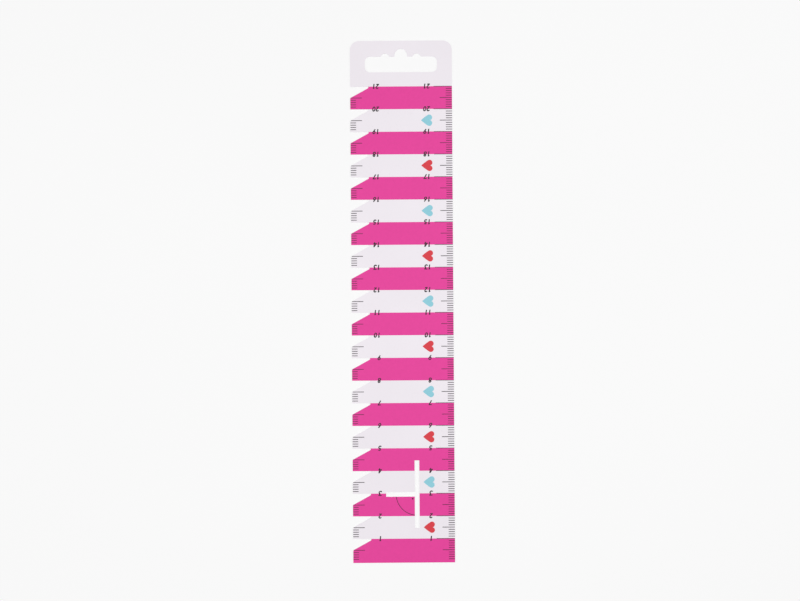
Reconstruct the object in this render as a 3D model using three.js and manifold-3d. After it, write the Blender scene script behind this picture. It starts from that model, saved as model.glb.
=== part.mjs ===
// Sewing ruler: a hand gauge die-cut from one plastic sheet and printed with a centimetre scale.
//
// Millimetres, +Z up. The ruler lies on its back with the printed face up. The scale runs along +Y from the
// zero end to the hanger tab. The straight measuring edge is at +X and the notched marking edge at -X.
// The origin is the middle of the back face.

import * as THREE from "three";
import { mergeVertices } from "three/addons/utils/BufferGeometryUtils.js";
import Module from "manifold-3d";

const wasm = await Module();
wasm.setup();

// Sheet
const SHEET_WIDTH = 45;
const SHEET_THICKNESS = 0.8;
const CENTIMETRE = 10;
const SCALE_CENTIMETRES = 21;
const END_MARGIN = 0.6; // sheet left beyond the scale's zero line
const TAB_LENGTH = 20.2; // hanger tab beyond the end of the scale
const TAB_CORNER_RADIUS = 4;

// Marking edge: one notch per centimetre, squared off at the next centimetre line
const NOTCH_MOUTH = 5; // opening along the edge
const NOTCH_DEPTH = 8;
const NOTCH_END = 0.65; // flat at the bottom of the notch

// Hanger hole
const HOLE_WIDTH = 32;
const HOLE_HEIGHT = 7;
const HOLE_CORNER_RADIUS = 2.3;
const HOLE_FROM_TAB_END = 6.9; // tab end to the hole's upper edge
const HOOK_HUMP_WIDTH = 5.6; // rounded top in the middle, for a single hook
const HOOK_HUMP_RISE = 3.4;
const SIDE_HUMP_RADIUS = 2; // shallow humps on both sides, for a double hook
const SIDE_HUMP_RISE = 1.4;
const SIDE_HUMP_SPACING = 14; // between their centres

// T-shaped marking slots
const SLOT_WIDTH = 2.1;
const LONG_SLOT_LENGTH = 30; // along the scale, half of it on each side of the crossing
const CROSS_SLOT_REACH = 13.7; // from the crossing towards the marking edge
const CROSSING_FROM_STRAIGHT_EDGE = 16.6;
const CROSSING_FROM_ZERO = 29.6;

// Print
const INK_THICKNESS = 0.05;
const HEART_SPAN = 5; // across the lobes
const HEART_LENGTH = 4.9; // tip to lobes
const HEART_CLEFT = 0.95; // depth of the dip between the lobes
const HEART_SIDE_BEND = THREE.MathUtils.degToRad(5); // how far each side bends outwards towards the tip
const HEART_FROM_STRAIGHT_EDGE = 11.3; // middle of the heart
const ANGLE_ARC_RADIUS = 9.25; // right-angle mark, about the crossing
const ANGLE_LINE_WIDTH = 0.22;
const ANGLE_DOT_DIAMETER = 0.7;
const ANGLE_DOT_FROM_SLOTS = 0.9; // slot edges to the dot's centre

const CUT_MARGIN = 1; // how far a cutter stands out of what it cuts
const ARC_STEPS = 8; // an arc gets two segments for each step

// Places that follow from the dimensions, with Y counted from the zero line
const sheetStart = -END_MARGIN;
const sheetEnd = SCALE_CENTIMETRES * CENTIMETRE + TAB_LENGTH;
const straightEdge = SHEET_WIDTH / 2;
const markingEdge = -SHEET_WIDTH / 2;
const holeTop = sheetEnd - HOLE_FROM_TAB_END;
const holeMiddle = holeTop - HOLE_HEIGHT / 2;
const crossing = new THREE.Vector2(straightEdge - CROSSING_FROM_STRAIGHT_EDGE, CROSSING_FROM_ZERO);

// Materials
const plastic = (color, roughness) => new THREE.MeshStandardMaterial({ color, roughness, metalness: 0 });
const sheetPlastic = plastic(0xeee9ef, 0.45);
const pinkInk = plastic(0xe54a9d, 0.4);
const redInk = plastic(0xd74b53, 0.4);
const blueInk = plastic(0x96cedb, 0.4);
const blackInk = plastic(0x1e191e, 0.4);

// Outlines
function rectangle(left, bottom, right, top) {
  const outline = new THREE.Shape();
  outline.moveTo(left, bottom);
  outline.lineTo(right, bottom);
  outline.lineTo(right, top);
  outline.lineTo(left, top);
  outline.closePath();
  return outline;
}

function roundedRectangle(left, bottom, right, top, radius) {
  const outline = new THREE.Shape();
  outline.absarc(right - radius, bottom + radius, radius, -Math.PI / 2, 0);
  outline.absarc(right - radius, top - radius, radius, 0, Math.PI / 2);
  outline.absarc(left + radius, top - radius, radius, Math.PI / 2, Math.PI);
  outline.absarc(left + radius, bottom + radius, radius, Math.PI, Math.PI * 1.5);
  outline.closePath();
  return outline;
}

function circle(x, y, radius) {
  const outline = new THREE.Shape();
  outline.absarc(x, y, radius, 0, Math.PI * 2);
  return outline;
}

// Square at the zero end, rounded at the hanger end.
function sheetOutline() {
  const outline = new THREE.Shape();
  const cornerHeight = sheetEnd - TAB_CORNER_RADIUS;
  outline.moveTo(markingEdge, sheetStart);
  outline.lineTo(straightEdge, sheetStart);
  outline.absarc(straightEdge - TAB_CORNER_RADIUS, cornerHeight, TAB_CORNER_RADIUS, 0, Math.PI / 2);
  outline.absarc(markingEdge + TAB_CORNER_RADIUS, cornerHeight, TAB_CORNER_RADIUS, Math.PI / 2, Math.PI);
  outline.closePath();
  return outline;
}

// The notch's slanted side starts on the marking edge and runs in to its flat end.
function notchOutline(lineAbove) {
  const outline = new THREE.Shape();
  const slope = (NOTCH_MOUTH - NOTCH_END) / NOTCH_DEPTH;
  const outside = markingEdge - CUT_MARGIN;
  const inside = markingEdge + NOTCH_DEPTH;
  outline.moveTo(outside, lineAbove - NOTCH_MOUTH - slope * CUT_MARGIN);
  outline.lineTo(inside, lineAbove - NOTCH_END);
  outline.lineTo(inside, lineAbove);
  outline.lineTo(outside, lineAbove);
  outline.closePath();
  return outline;
}

function hookHumpOutline() {
  const outline = new THREE.Shape();
  const radius = HOOK_HUMP_WIDTH / 2;
  outline.moveTo(-radius, holeMiddle);
  outline.lineTo(radius, holeMiddle);
  outline.absarc(0, holeTop + HOOK_HUMP_RISE - radius, radius, 0, Math.PI);
  outline.closePath();
  return outline;
}

// A heart lying on its side: its tip points to -X and the middle of its length is at the origin. Two round
// lobes meet in the cleft. From each lobe a slightly bent side leaves along a tangent and ends in the tip.
function heartOutline() {
  const outline = new THREE.Shape();
  const lobeRadius = HEART_SPAN / 2 + HEART_CLEFT - Math.sqrt(HEART_SPAN * HEART_CLEFT);
  const lobeOffset = HEART_SPAN / 2 - lobeRadius;
  const tip = -HEART_LENGTH / 2;
  const lobeX = HEART_LENGTH / 2 - lobeRadius;
  const tipToLobe = Math.hypot(lobeX - tip, lobeOffset);
  const sideAngle = Math.atan2(lobeOffset, lobeX - tip) + Math.asin(lobeRadius / tipToLobe);
  const lobeEndAngle = sideAngle + Math.PI / 2 - HEART_SIDE_BEND;
  const cleftAngle = Math.acos((lobeRadius - HEART_CLEFT) / lobeRadius);
  const lobeEnd = new THREE.Vector2(lobeRadius, 0);
  lobeEnd.rotateAround(new THREE.Vector2(), lobeEndAngle).add(new THREE.Vector2(lobeX, lobeOffset));
  const halfSide = lobeEnd.distanceTo(new THREE.Vector2(tip, 0)) / 2;
  const bendX = lobeEnd.x - halfSide * Math.sin(lobeEndAngle);
  const bendY = lobeEnd.y + halfSide * Math.cos(lobeEndAngle);
  outline.absarc(lobeX, -lobeOffset, lobeRadius, -lobeEndAngle, cleftAngle);
  outline.absarc(lobeX, lobeOffset, lobeRadius, -cleftAngle, lobeEndAngle);
  outline.quadraticCurveTo(bendX, bendY, tip, 0);
  outline.quadraticCurveTo(bendX, -bendY, lobeEnd.x, -lobeEnd.y);
  outline.closePath();
  return outline;
}

// A quarter ring from the cross slot round to the long slot's lower half.
function angleArcOutline() {
  const outline = new THREE.Shape();
  const outer = ANGLE_ARC_RADIUS + ANGLE_LINE_WIDTH / 2;
  const inner = ANGLE_ARC_RADIUS - ANGLE_LINE_WIDTH / 2;
  outline.absarc(crossing.x, crossing.y, outer, Math.PI, Math.PI * 1.5);
  outline.absarc(crossing.x, crossing.y, inner, Math.PI * 1.5, Math.PI, true);
  outline.closePath();
  return outline;
}

// Solids
function plate(outline, thickness) {
  const settings = { depth: thickness, bevelEnabled: false, curveSegments: ARC_STEPS };
  return new THREE.ExtrudeGeometry(outline, settings);
}

function toSolid(geometry) {
  const bare = geometry.clone();
  bare.deleteAttribute("normal");
  bare.deleteAttribute("uv");
  const welded = mergeVertices(bare);
  const vertProperties = new Float32Array(welded.attributes.position.array);
  const triVerts = new Uint32Array(welded.index.array);
  return new wasm.Manifold(new wasm.Mesh({ numProp: 3, vertProperties, triVerts }));
}

function toGeometry(solid) {
  const { vertProperties, triVerts } = solid.getMesh();
  const geometry = new THREE.BufferGeometry();
  geometry.setAttribute("position", new THREE.BufferAttribute(vertProperties, 3));
  geometry.setIndex(new THREE.BufferAttribute(triVerts, 1));
  const faceted = geometry.toNonIndexed();
  faceted.computeVertexNormals();
  return faceted;
}

// A cutter goes through the sheet and through anything printed on it.
function cutter(outline) {
  const through = plate(outline, SHEET_THICKNESS + 2 * CUT_MARGIN);
  through.translate(0, 0, -CUT_MARGIN);
  return toSolid(through);
}

// Everything that the die cuts out inside the sheet's outline
function dieCuts() {
  const outlines = [];
  for (let line = 1; line <= SCALE_CENTIMETRES; line += 1) {
    outlines.push(notchOutline(line * CENTIMETRE));
  }

  const holeSide = HOLE_WIDTH / 2;
  const sideHumpY = holeTop + SIDE_HUMP_RISE - SIDE_HUMP_RADIUS;
  outlines.push(roundedRectangle(-holeSide, holeTop - HOLE_HEIGHT, holeSide, holeTop, HOLE_CORNER_RADIUS));
  outlines.push(hookHumpOutline());
  outlines.push(circle(-SIDE_HUMP_SPACING / 2, sideHumpY, SIDE_HUMP_RADIUS));
  outlines.push(circle(SIDE_HUMP_SPACING / 2, sideHumpY, SIDE_HUMP_RADIUS));

  const halfSlot = SLOT_WIDTH / 2;
  const halfLong = LONG_SLOT_LENGTH / 2;
  const { x, y } = crossing;
  outlines.push(rectangle(x - halfSlot, y - halfLong, x + halfSlot, y + halfLong));
  outlines.push(rectangle(x - CROSS_SLOT_REACH, y - halfSlot, x, y + halfSlot));

  return outlines.map(cutter).reduce((joined, next) => joined.add(next));
}

// Assembly
const cuts = dieCuts();
const ruler = new THREE.Group();
const sheet = new THREE.Group();
const print = new THREE.Group();
sheet.position.y = -(sheetStart + sheetEnd) / 2;
print.position.z = SHEET_THICKNESS;
sheet.add(print);
ruler.add(sheet);

function addMesh(group, name, geometry, material) {
  const mesh = new THREE.Mesh(geometry, material);
  mesh.name = name;
  group.add(mesh);
  return mesh;
}

function addSheet() {
  const blank = toSolid(plate(sheetOutline(), SHEET_THICKNESS));
  addMesh(sheet, "ruler_blank", toGeometry(blank.subtract(cuts)), sheetPlastic);
}

// Pink fills every other centimetre, and the first band runs on to the sheet's end. It is cut together with
// the sheet, so a slot that crosses a whole band parts it into pieces, numbered from the marking edge.
function addPinkBands() {
  for (let start = 0; start < SCALE_CENTIMETRES; start += 2) {
    const end = start + 1;
    const bottom = start === 0 ? sheetStart : start * CENTIMETRE;
    const strip = rectangle(markingEdge, bottom, straightEdge, end * CENTIMETRE);
    const pieces = toSolid(plate(strip, INK_THICKNESS)).subtract(cuts).decompose();
    pieces.sort((a, b) => a.boundingBox().min[0] - b.boundingBox().min[0]);
    pieces.forEach((piece, index) => {
      const suffix = pieces.length > 1 ? `_part_${index + 1}` : "";
      addMesh(print, `pink_band_${start}_to_${end}${suffix}`, toGeometry(piece), pinkInk);
    });
  }
}

// A heart in the middle of each bare centimetre, red and blue by turns, with red first.
function addHearts() {
  for (let start = 1; start < SCALE_CENTIMETRES; start += 2) {
    const red = start % 4 === 1;
    const name = `${red ? "red" : "blue"}_heart_${start}_to_${start + 1}`;
    const heart = addMesh(print, name, plate(heartOutline(), INK_THICKNESS), red ? redInk : blueInk);
    heart.position.set(straightEdge - HEART_FROM_STRAIGHT_EDGE, (start + 0.5) * CENTIMETRE, 0);
  }
}

// The mark is printed over the pink, in the corner between the two slots.
function addRightAngleMark() {
  const arc = toSolid(plate(angleArcOutline(), INK_THICKNESS)).subtract(cuts);
  addMesh(print, "right_angle_arc", toGeometry(arc), blackInk).position.z = INK_THICKNESS;

  const fromCrossing = SLOT_WIDTH / 2 + ANGLE_DOT_FROM_SLOTS;
  const dot = circle(crossing.x - fromCrossing, crossing.y - fromCrossing, ANGLE_DOT_DIAMETER / 2);
  addMesh(print, "right_angle_dot", plate(dot, INK_THICKNESS), blackInk).position.z = INK_THICKNESS;
}

addSheet();
addPinkBands();
addHearts();
addRightAngleMark();

export default ruler;
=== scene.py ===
"""Looks of a sewing ruler: its materials, printed scale, light and camera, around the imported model.

Everything is in metres in the model's own frame: the ruler lies on its back, its scale runs along +Y from
the zero end, the straight measuring edge is at +X and the notched marking edge at -X.
"""

import math

import bmesh
import bpy
from mathutils import Matrix, Vector
from mathutils.geometry import delaunay_2d_cdt


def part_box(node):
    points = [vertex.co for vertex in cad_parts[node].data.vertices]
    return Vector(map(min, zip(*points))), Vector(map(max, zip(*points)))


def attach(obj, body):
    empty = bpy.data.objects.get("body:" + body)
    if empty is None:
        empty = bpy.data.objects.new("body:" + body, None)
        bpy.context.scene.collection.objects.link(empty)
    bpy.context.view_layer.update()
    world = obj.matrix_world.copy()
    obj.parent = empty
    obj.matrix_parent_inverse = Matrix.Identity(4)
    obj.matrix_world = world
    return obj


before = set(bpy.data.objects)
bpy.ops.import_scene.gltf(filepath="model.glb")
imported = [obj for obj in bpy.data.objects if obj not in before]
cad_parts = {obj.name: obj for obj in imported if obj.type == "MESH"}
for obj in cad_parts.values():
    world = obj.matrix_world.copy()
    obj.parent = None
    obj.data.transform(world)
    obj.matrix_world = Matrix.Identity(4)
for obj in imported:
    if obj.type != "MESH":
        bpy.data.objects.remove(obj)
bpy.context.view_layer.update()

MM = 0.001
CENTIMETRES = 21  # on the scale
MILLIMETRES = 10  # in a centimetre

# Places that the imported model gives
sheet_low, sheet_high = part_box("ruler_blank")
last_band_low, last_band_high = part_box("pink_band_20_to_21")
marking_edge = sheet_low.x
straight_edge = sheet_high.x
centimetre = last_band_high.y - last_band_low.y
zero = last_band_high.y - CENTIMETRES * centimetre
bare_top = sheet_high.z
pink_top = last_band_high.z
ink_thickness = pink_top - bare_top

# Black ink where it meets pink
STROKE_ON_PINK = 0.82  # width of a black stroke there, as a share of its width on the bare sheet
FILM_GAP = 0.004 * MM  # keeps the films on both sides of a band's edge apart

# Printed ticks, one per millimetre
TICK_WIDTH = 0.27 * MM  # on the bare sheet
STRAIGHT_EDGE_TICK = 2.75 * MM
STRAIGHT_EDGE_HALF_TICK = 5.45 * MM
STRAIGHT_EDGE_CENTIMETRE_TICK = 8.1 * MM
MARKING_EDGE_TICK = 2.5 * MM
MARKING_EDGE_HALF_TICK = 5.15 * MM
HALF_TICK_INSET = 0.26 * MM  # keeps the end of the half-centimetre tick on the corner of its tooth

# Printed numerals: a slanted geometric hand, read with the zero end at the top
DIGIT_HEIGHT = 2.2 * MM
DIGIT_ADVANCE = 1.56 * MM
DIGIT_SLANT = math.radians(8)
ARC_STEP = math.radians(15)  # between the points of a round stroke
FLAT = 0.01  # radians: edges that turn less are dissolved
NUMERAL_COLUMNS = {  # where the first digits start, as they are read
    "numerals_marking_edge": -9.83 * MM,
    "numerals_straight_edge": 12.67 * MM,
}

# Pen strokes of the digits, in digit heights
DIGIT_STROKE = 0.22  # width on the bare sheet
LINE_HEIGHT = 0.54  # up a digit, where its centimetre line cuts it
CUT_LEFT = -1  # a cut starts and ends well clear of the digit
CUT_RIGHT = 2
WELD = 1e-5  # corners nearer than this are one

# Colours and finishes
WHITE = (1, 1, 1)
SHEET = (0.826, 0.78, 0.83)
PINK = (0.748, 0.043, 0.306)
RED = (0.652, 0.038, 0.053)
BLUE = (0.262, 0.579, 0.673)
BLACK = (0.009, 0.007, 0.009)
SHEET_ROUGHNESS = (0.38, 0.5)  # of the glossiest and the dullest spots
COLOUR_INK_ROUGHNESS = (0.37, 0.48)
BLACK_INK_ROUGHNESS = (0.4, 0.51)
CUT_ROUGHNESS = 0.6
INK_SPECULAR = 0.3
BUMP_STRENGTH = 0.4
NOISE_LOW = 0.3  # a noise seldom leaves the range between these two
NOISE_HIGH = 0.7
STEEP = 0.5  # a face whose normal rises or falls less than this is a cut edge
STREAK_STRETCH = (1, 1, 0.1)  # draws the streaks on a cut edge out from face to face

# Floor and room
FLOOR_SIZE = 6.0
FLOOR_DROP = 0.02 * MM  # keeps the floor clear of the ruler's back
FLOOR_GLOW = 0.75  # share of the floor's tone that no shadow darkens
ROOM_LIGHT = 0.5  # where the room only gives light
ROOM_TONE = 0.95  # where the room is seen

# The photograph's frame
PHOTO_WIDTH = 800
PHOTO_HEIGHT = 601
PIXELS_PER_METRE = 2261.2
ZERO_PIXEL = Vector((404.26, 561.3))  # the middle of the zero line
PHOTO_LEAN = 0.00684  # radians, the hanger end leans to the left
LENS = 85.0
SENSOR = 36.0
CLIP_RATIO = 100  # the view ends this many times nearer and farther than the ruler


# Printed scale
def on_pink(y):
    """Pink covers every other centimetre of the scale."""
    centimetres = (y - zero) / centimetre
    return 0 < centimetres < CENTIMETRES and math.floor(centimetres) % 2 == 0


def face_under(y):
    """Height of the face that black ink lands on there."""
    return pink_top if on_pink(y) else bare_top


def films_across(y, reach):
    """Ends of the two films of a mark across a centimetre line: one is on pink, one on the bare sheet."""
    return [(y - reach, y - FILM_GAP / 2), (y + FILM_GAP / 2, y + reach)]


def add_tick(bm, left, right, millimetre):
    """A tick at one millimetre of the scale. It is narrower where it touches pink."""
    y = zero + millimetre * centimetre / MILLIMETRES
    on_centimetre_line = millimetre % MILLIMETRES == 0
    touches_pink = on_centimetre_line or on_pink(y)
    reach = TICK_WIDTH / 2 * (STROKE_ON_PINK if touches_pink else 1)
    films = films_across(y, reach) if on_centimetre_line else [(y - reach, y + reach)]
    for low, high in films:
        bottom = face_under((low + high) / 2)
        size = (right - left, high - low, ink_thickness)
        middle = ((left + right) / 2, (low + high) / 2, bottom + ink_thickness / 2)
        place = Matrix.Translation(middle) @ Matrix.Diagonal((*size, 1))
        bmesh.ops.create_cube(bm, size=1, matrix=place)


def add_piece(name, bm, material):
    """Turns a mesh into a piece of the ruler that takes its finish from the black ink."""
    mesh = bpy.data.meshes.new(name)
    bm.to_mesh(mesh)
    bm.free()
    mesh.materials.append(material)
    piece = bpy.data.objects.new(name, mesh)
    bpy.context.scene.collection.objects.link(piece)
    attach(piece, "root")


def add_straight_edge_ticks(material):
    bm = bmesh.new()
    for millimetre in range(1, CENTIMETRES * MILLIMETRES + 1):
        length = STRAIGHT_EDGE_TICK
        if millimetre % MILLIMETRES == 0:
            length = STRAIGHT_EDGE_CENTIMETRE_TICK
        elif millimetre % MILLIMETRES == MILLIMETRES // 2:
            length = STRAIGHT_EDGE_HALF_TICK
        add_tick(bm, straight_edge - length, straight_edge, millimetre)
    add_piece("ticks_straight_edge", bm, material)


def add_marking_edge_ticks(material):
    """Ticks on the teeth: each tooth holds the first half of its centimetre."""
    bm = bmesh.new()
    for tooth in range(CENTIMETRES):
        for step in range(1, MILLIMETRES // 2 + 1):
            half = step == MILLIMETRES // 2
            start = marking_edge + (HALF_TICK_INSET if half else 0)
            end = marking_edge + (MARKING_EDGE_HALF_TICK if half else MARKING_EDGE_TICK)
            add_tick(bm, start, end, tooth * MILLIMETRES + step)
    add_piece("ticks_marking_edge", bm, material)


# Numerals. A digit is a few pen strokes, given by their middle lines above the base line.
def arc(x, y, radius_x, radius_y, start, end):
    """Points of an ellipse's arc, from one angle to another in degrees."""
    first = math.radians(start)
    last = math.radians(end)
    steps = math.ceil(abs(last - first) / ARC_STEP)
    angles = [first + (last - first) * step / steps for step in range(steps + 1)]
    return [Vector((x + radius_x * math.cos(a), y + radius_y * math.sin(a))) for a in angles]


def line(*points):
    return [Vector(point) for point in points]


def turned(strokes, x, y):
    """The strokes after half a turn about a point."""
    return [[Vector((2 * x - p.x, 2 * y - p.y)) for p in stroke] for stroke in strokes]


SIX = [arc(0.30, 0.32, 0.225, 0.225, 0, 360), line((0.47, 0.97), (0.114, 0.447))]
DIGITS = {
    "0": [arc(0.31, 0.5, 0.22, 0.41, 0, 360)],
    "1": [line((0.32, 0), (0.32, 1)), line((0.32, 0.92), (0.13, 0.80))],
    "2": [arc(0.29, 0.69, 0.22, 0.22, 165, -40) + line((0.12, 0.1)), line((0.02, 0.1), (0.56, 0.1))],
    "3": [
        line((-0.06, 0.9), (0.57, 0.9)),
        line((0.50, 0.89), (0.28, 0.60)),
        arc(0.26, 0.32, 0.245, 0.245, 85, -160),
    ],
    "4": [
        line((0.42, 0), (0.42, 1)),
        line((0.40, 0.94), (0.04, 0.30)),
        line((-0.06, 0.27), (0.62, 0.27)),
    ],
    "5": [
        line((0.15, 0.9), (0.54, 0.9)),
        line((0.20, 0.97), (0.14, 0.50)),
        arc(0.27, 0.33, 0.24, 0.24, 130, -150),
    ],
    "6": SIX,
    "7": [line((-0.02, 0.9), (0.58, 0.9)), line((0.53, 0.93), (0.11, 0.03))],
    "8": [arc(0.31, 0.745, 0.175, 0.175, 0, 360), arc(0.30, 0.315, 0.225, 0.225, 0, 360)],
    "9": turned(SIX, 0.30, 0.5),
}


def ribbon(path, width):
    """Points along both sides of a stroke, in pairs."""
    ring = (path[0] - path[-1]).length < width / 2  # both ends lie together
    sides = []
    for index, point in enumerate(path):
        before = path[max(index - 1, 0)]
        after = path[min(index + 1, len(path) - 1)]
        if ring and index in (0, len(path) - 1):
            before, after = path[-2], path[1]
        along = (after - before).normalized()
        across = Vector((-along.y, along.x)) * width / 2
        sides += [point + across, point - across]
    return sides


def digit_faces(strokes, width):
    """Corners and triangles of a digit whose strokes no longer overlap, cut where its films of ink end."""
    corners = []
    quads = []
    for stroke in strokes:
        first = len(corners)
        corners += ribbon(stroke, width)
        for pair in range(first, len(corners) - 2, 2):
            quads.append([pair, pair + 1, pair + 3, pair + 2])
    cuts = []
    for side in (-1, 1):
        height = LINE_HEIGHT + side * FILM_GAP / 2 / DIGIT_HEIGHT
        cuts.append((len(corners), len(corners) + 1))
        corners += line((CUT_LEFT, height), (CUT_RIGHT, height))
    whole_hull = 0
    with_owners = True
    parts = delaunay_2d_cdt(corners, cuts, quads, whole_hull, WELD, with_owners)
    points, _, triangles, _, _, owners = parts
    slant = math.tan(DIGIT_SLANT)
    slanted = [Vector((p.x + slant * (p.y - LINE_HEIGHT), p.y)) * DIGIT_HEIGHT for p in points]
    return slanted, [triangle for triangle, owner in zip(triangles, owners) if owner]


def add_digit(bm, strokes, left, middle):
    """Lays a digit flat across its centimetre line, upside down, with one film on each side of the line."""
    foot = middle + DIGIT_HEIGHT * LINE_HEIGHT
    for low, high in films_across(middle, DIGIT_HEIGHT):
        y = (low + high) / 2
        bottom = face_under(y)
        width = DIGIT_STROKE * (STROKE_ON_PINK if on_pink(y) else 1)
        points, triangles = digit_faces(strokes, width)
        corners = [bm.verts.new((left - p.x, foot - p.y, bottom)) for p in points]
        for triangle in triangles:
            face = [corners[index] for index in triangle]
            if low < sum(corner.co.y for corner in face) / len(face) < high:
                bm.faces.new(face)


def thicken(bm):
    """Turns flat faces into closed films of ink: a top over each face, and walls along the rim."""
    unused = [vert for vert in bm.verts if not vert.link_faces]
    bmesh.ops.delete(bm, geom=unused, context="VERTS")
    bmesh.ops.dissolve_limit(bm, angle_limit=FLAT, verts=bm.verts, edges=bm.edges)
    flat_faces = bm.faces[:]
    rim = [edge for edge in bm.edges if edge.is_boundary]
    lift = Vector((0, 0, ink_thickness))
    above = {vert: bm.verts.new(vert.co + lift) for vert in bm.verts[:]}
    for face in flat_faces:
        bm.faces.new([above[vert] for vert in face.verts])
    for edge in rim:
        start, end = edge.verts
        bm.faces.new([start, end, above[end], above[start]])
    bmesh.ops.recalc_face_normals(bm, faces=bm.faces)


def add_numerals(name, reading_left, material):
    """A column of numbers, each across its centimetre line and turned to be read from the hanger end."""
    bm = bmesh.new()
    for number in range(1, CENTIMETRES + 1):
        middle = zero + number * centimetre
        for place, digit in enumerate(str(number)):
            add_digit(bm, DIGITS[digit], reading_left - place * DIGIT_ADVANCE, middle)
    thicken(bm)
    add_piece(name, bm, material)


# Shader nodes
MIX_SOCKETS = {"FLOAT": (0, 2, 3, 0), "RGBA": (0, 6, 7, 2)}  # share, first, second and result of each kind


def new_material(name):
    material = bpy.data.materials.new(name)
    material.use_nodes = True
    tree = material.node_tree
    return material, tree, tree.nodes["Principled BSDF"]


def add_node(tree, kind, inputs=None, **settings):
    """Adds a shader node. An input is a plain value, or another node's output to link."""
    node = tree.nodes.new(kind)
    for name, value in settings.items():
        setattr(node, name, value)
    for name, value in (inputs or {}).items():
        if isinstance(value, bpy.types.NodeSocket):
            tree.links.new(value, node.inputs[name])
        else:
            node.inputs[name].default_value = value
    return node


def place_on_object(tree):
    """Where a point of the surface lies, in metres."""
    return add_node(tree, "ShaderNodeTexCoord").outputs["Object"]


def noise(tree, place, size, detail=2.0):
    """Noise whose spots are about that size in metres."""
    inputs = {"Vector": place, "Scale": 1 / size, "Detail": detail}
    return add_node(tree, "ShaderNodeTexNoise", inputs).outputs["Fac"]


def spread(tree, value, low=0, high=1):
    """Stretches the middle of a noise over a range."""
    inputs = {"Value": value, "From Min": NOISE_LOW, "From Max": NOISE_HIGH, "To Min": low, "To Max": high}
    return add_node(tree, "ShaderNodeMapRange", inputs).outputs["Result"]


def calculate(tree, operation, *values):
    """Result of a math node, from plain values or other nodes' outputs."""
    inputs = dict(enumerate(values))
    return add_node(tree, "ShaderNodeMath", inputs, operation=operation).outputs["Value"]


def between(tree, share, first, second, kind="RGBA"):
    """A colour between two others, or a value of another kind."""
    share_socket, first_socket, second_socket, result_socket = MIX_SOCKETS[kind]
    inputs = {share_socket: share, first_socket: first, second_socket: second}
    return add_node(tree, "ShaderNodeMix", inputs, data_type=kind).outputs[result_socket]


def tones(tree, share, colour, dark, pale):
    """A colour that runs between two shades of it, given as factors."""
    first = [channel * dark for channel in colour]
    second = [channel * pale for channel in colour]
    return between(tree, share, (*first, 1), (*second, 1))


def add_bump(tree, shader, height, depth):
    """Gives a surface the relief of a noise, about that deep in metres."""
    inputs = {"Height": height, "Strength": BUMP_STRENGTH, "Distance": depth}
    bump = add_node(tree, "ShaderNodeBump", inputs)
    tree.links.new(bump.outputs["Normal"], shader.inputs["Normal"])


# Materials of the ruler
def on_cut_edge(tree):
    """1 on the upright faces that the die has cut, and 0 on the front and the back."""
    normal = add_node(tree, "ShaderNodeNewGeometry").outputs["Normal"]
    rise = add_node(tree, "ShaderNodeSeparateXYZ", {"Vector": normal}).outputs["Z"]
    return calculate(tree, "LESS_THAN", calculate(tree, "ABSOLUTE", rise), STEEP)


def sheet_plastic():
    """Satin plastic with a fine rolled grain, paler and streaked where the die has cut it."""
    material, tree, shader = new_material("sheet_plastic")
    place = place_on_object(tree)
    cut = on_cut_edge(tree)

    cloud = spread(tree, noise(tree, place, size=30 * MM))
    face = tones(tree, cloud, SHEET, dark=0.985, pale=1.015)
    tall = add_node(tree, "ShaderNodeVectorMath", {0: place, 1: STREAK_STRETCH}, operation="MULTIPLY")
    streaks = spread(tree, noise(tree, tall.outputs["Vector"], size=0.25 * MM))
    edge = tones(tree, streaks, SHEET, dark=1.02, pale=1.1)
    tree.links.new(between(tree, cut, face, edge), shader.inputs["Base Color"])

    satin = spread(tree, noise(tree, place, size=6 * MM, detail=6.0), *SHEET_ROUGHNESS)
    roughness = between(tree, cut, satin, CUT_ROUGHNESS, kind="FLOAT")
    tree.links.new(roughness, shader.inputs["Roughness"])

    grain = noise(tree, place, size=0.35 * MM, detail=4.0)
    add_bump(tree, shader, grain, depth=0.05 * MM)
    return material


def ink(name, colour, roughness):
    """Printed ink: a little uneven in tone, with the fine orange peel of a cured film."""
    material, tree, shader = new_material(name)
    place = place_on_object(tree)

    mottle = spread(tree, noise(tree, place, size=1.2 * MM, detail=5.0))
    cloud = spread(tree, noise(tree, place, size=14 * MM))
    dark_patch = tones(tree, mottle, colour, dark=0.975, pale=1.02)
    pale_patch = tones(tree, mottle, colour, dark=0.985, pale=1.035)
    tree.links.new(between(tree, cloud, dark_patch, pale_patch), shader.inputs["Base Color"])

    satin = spread(tree, noise(tree, place, size=3 * MM, detail=4.0), *roughness)
    tree.links.new(satin, shader.inputs["Roughness"])
    shader.inputs["Specular IOR Level"].default_value = INK_SPECULAR

    peel = noise(tree, place, size=0.25 * MM)
    add_bump(tree, shader, peel, depth=0.03 * MM)
    return material


def dress(prefix, material):
    """Gives a material to every node of the model whose name starts that way."""
    for name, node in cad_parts.items():
        if name.startswith(prefix):
            node.data.materials.clear()
            node.data.materials.append(material)


# Floor, light and camera
def seen_directly(tree):
    """1 for a ray from the camera, off gloss or through glass, and 0 for one that only carries light."""
    path = add_node(tree, "ShaderNodeLightPath")
    seen = path.outputs["Is Camera Ray"]
    for ray in ("Is Glossy Ray", "Is Transmission Ray"):
        seen = calculate(tree, "MAXIMUM", seen, path.outputs[ray])
    return seen


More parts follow.
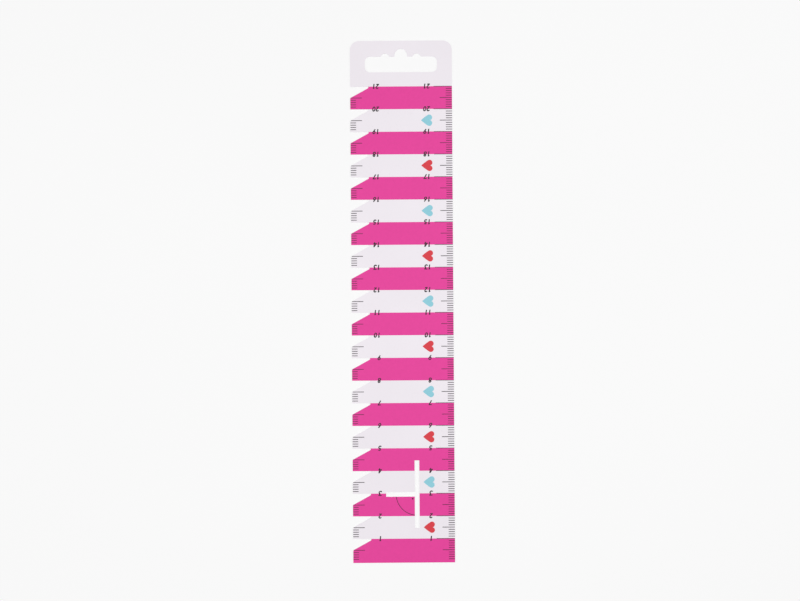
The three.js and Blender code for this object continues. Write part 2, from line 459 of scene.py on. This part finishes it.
def floor_paper():
    """Matt paper. Where it is seen, part of its tone glows and the rest takes the ruler's shadow."""
    material, tree, shader = new_material("floor_paper")
    cloud = spread(tree, noise(tree, place_on_object(tree), size=0.2))
    paper = tones(tree, cloud, WHITE, dark=0.945, pale=0.955)
    tree.links.new(paper, shader.inputs["Base Color"])
    shader.inputs["Roughness"].default_value = 1.0
    shader.inputs["Specular IOR Level"].default_value = 0.0

    glow = add_node(tree, "ShaderNodeEmission", {"Color": paper})
    share = calculate(tree, "MULTIPLY", seen_directly(tree), FLOOR_GLOW)
    inputs = {"Fac": share, 1: shader.outputs["BSDF"], 2: glow.outputs["Emission"]}
    mix = add_node(tree, "ShaderNodeMixShader", inputs)
    tree.links.new(mix.outputs["Shader"], tree.nodes["Material Output"].inputs["Surface"])
    return material


def add_floor():
    bm = bmesh.new()
    bmesh.ops.create_grid(bm, x_segments=1, y_segments=1, size=FLOOR_SIZE / 2)
    bmesh.ops.translate(bm, vec=(0, 0, -FLOOR_DROP), verts=bm.verts)
    mesh = bpy.data.meshes.new("floor")
    bm.to_mesh(mesh)
    bm.free()
    mesh.materials.append(floor_paper())
    floor = bpy.data.objects.new("floor", mesh)
    bpy.context.scene.collection.objects.link(floor)


def add_world():
    """A soft room light. Seen directly or in gloss, it is as pale as the floor."""
    world = bpy.data.worlds.new("studio")
    bpy.context.scene.world = world
    world.use_nodes = True
    tree = world.node_tree
    inputs = {"Value": seen_directly(tree), "To Min": ROOM_LIGHT, "To Max": ROOM_TONE}
    strength = add_node(tree, "ShaderNodeMapRange", inputs).outputs["Result"]
    background = tree.nodes["Background"]
    background.inputs["Color"].default_value = (*WHITE, 1)
    tree.links.new(strength, background.inputs["Strength"])


def add_area_light(name, place, size, watts):
    """A soft square lamp that points at the middle of the ruler."""
    light = bpy.data.lights.new(name, "AREA")
    light.size = size
    light.energy = watts
    lamp = bpy.data.objects.new(name, light)
    lamp.location = place
    lamp.rotation_euler = (-Vector(place)).to_track_quat("-Z", "Y").to_euler()
    bpy.context.scene.collection.objects.link(lamp)


def add_camera():
    """Straight above the ruler, placed so that its scale falls where the photograph has it."""
    middle = Vector((PHOTO_WIDTH, PHOTO_HEIGHT)) / 2
    offset = Vector((middle.x - ZERO_PIXEL.x, ZERO_PIXEL.y - middle.y)) / PIXELS_PER_METRE
    offset.rotate(Matrix.Rotation(-PHOTO_LEAN, 2))
    distance = PHOTO_WIDTH / PIXELS_PER_METRE * LENS / SENSOR
    data = bpy.data.cameras.new("camera")
    data.lens = LENS
    data.sensor_width = SENSOR
    data.clip_start = distance / CLIP_RATIO
    data.clip_end = distance * CLIP_RATIO
    camera = bpy.data.objects.new("camera", data)
    camera.location = (offset.x, zero + offset.y, bare_top + distance)
    camera.rotation_euler = (0, 0, -PHOTO_LEAN)
    bpy.context.scene.collection.objects.link(camera)
    bpy.context.scene.camera = camera


add_camera()
black_ink = ink("black_ink", BLACK, BLACK_INK_ROUGHNESS)
dress("ruler_blank", sheet_plastic())
dress("pink_band", ink("pink_ink", PINK, COLOUR_INK_ROUGHNESS))
dress("red_heart", ink("red_ink", RED, COLOUR_INK_ROUGHNESS))
dress("blue_heart", ink("blue_ink", BLUE, COLOUR_INK_ROUGHNESS))
dress("right_angle", black_ink)
add_straight_edge_ticks(black_ink)
add_marking_edge_ticks(black_ink)
for column, reading_left in NUMERAL_COLUMNS.items():
    add_numerals(column, reading_left, black_ink)

add_floor()
add_world()
add_area_light("key", place=(0.28, 0.07, 0.5), size=0.35, watts=1.2)
add_area_light("fill", place=(-0.28, -0.06, 0.5), size=0.35, watts=1.0)
bpy.context.scene.view_settings.view_transform = "Standard"
